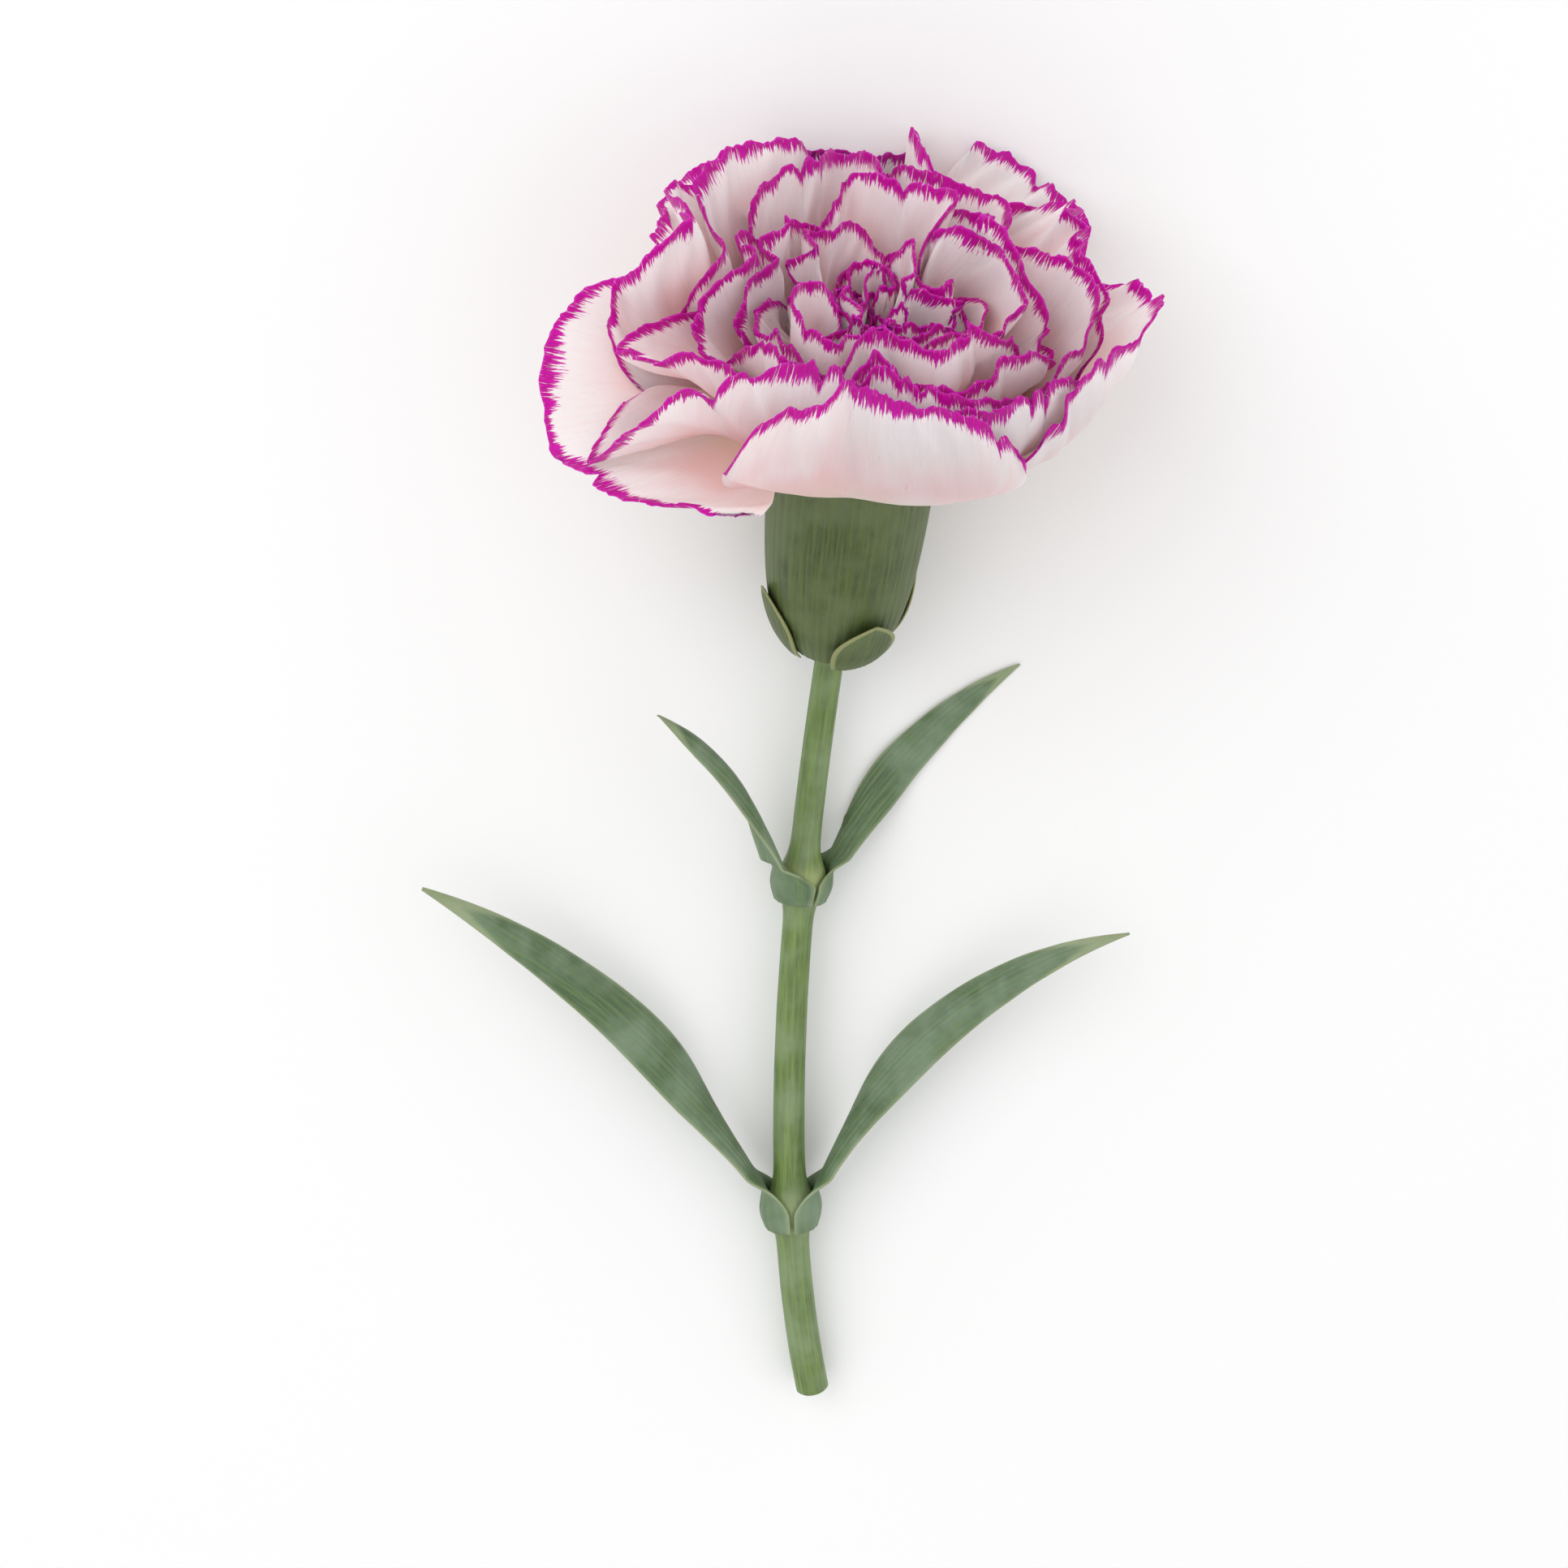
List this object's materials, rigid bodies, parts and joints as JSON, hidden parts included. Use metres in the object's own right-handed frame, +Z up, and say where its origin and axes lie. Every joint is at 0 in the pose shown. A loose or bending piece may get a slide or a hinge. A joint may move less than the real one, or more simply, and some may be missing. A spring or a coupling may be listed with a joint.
{
  "type": "cut carnation",
  "caption": "Cut carnation lying on its side: a full double bloom of frilled pale petals with deep magenta edges, in its calyx, on a short leafy stem.",
  "frame": {"origin": "middle of the footprint, on the surface that the flower lies on", "axes": "+Z up; +Y along the stem from its cut end towards the bloom; +X to the side. The bloom faces +Y and looks up from the surface."},
  "size_m": [0.0786, 0.1462, 0.0468],
  "materials": {
    "petal": "matte, soft, pale cream with deep magenta edges",
    "calyx": "matte, with a waxy bloom",
    "pistil": "matte",
    "stem": "matte, with a waxy bloom",
    "leaf": "matte, with a waxy grey bloom"
  },
  "bodies": {
    "root": {"petal_1_1": "petal", "petal_1_2": "petal", "petal_1_3": "petal", "petal_1_4": "petal", "petal_1_5": "petal", "petal_2_1": "petal", "petal_2_2": "petal", "petal_2_3": "petal", "petal_2_4": "petal", "petal_2_5": "petal", "petal_3_1": "petal", "petal_3_2": "petal", "petal_3_3": "petal", "petal_3_4": "petal", "petal_3_5": "petal", "petal_4_1": "petal", "petal_4_2": "petal", "petal_4_3": "petal", "petal_4_4": "petal", "petal_4_5": "petal", "petal_5_1": "petal", "petal_5_2": "petal", "petal_5_3": "petal", "petal_5_4": "petal", "petal_5_5": "petal", "petal_6_1": "petal", "petal_6_2": "petal", "petal_6_3": "petal", "petal_6_4": "petal", "petal_6_5": "petal", "petal_7_1": "petal", "petal_7_2": "petal", "petal_7_3": "petal", "petal_7_4": "petal", "petal_7_5": "petal", "petal_8_1": "petal", "petal_8_2": "petal", "petal_8_3": "petal", "petal_8_4": "petal", "petal_8_5": "petal", "petal_9_1": "petal", "petal_9_2": "petal", "petal_9_3": "petal", "petal_9_4": "petal", "calyx": "calyx", "bract_1a": "calyx", "bract_1b": "calyx", "bract_2a": "calyx", "bract_2b": "calyx", "pistil": "pistil", "stem": "stem", "leaf_1": "leaf", "leaf_2": "leaf", "leaf_3": "leaf", "leaf_4": "leaf"}
  },
  "joints": []
}
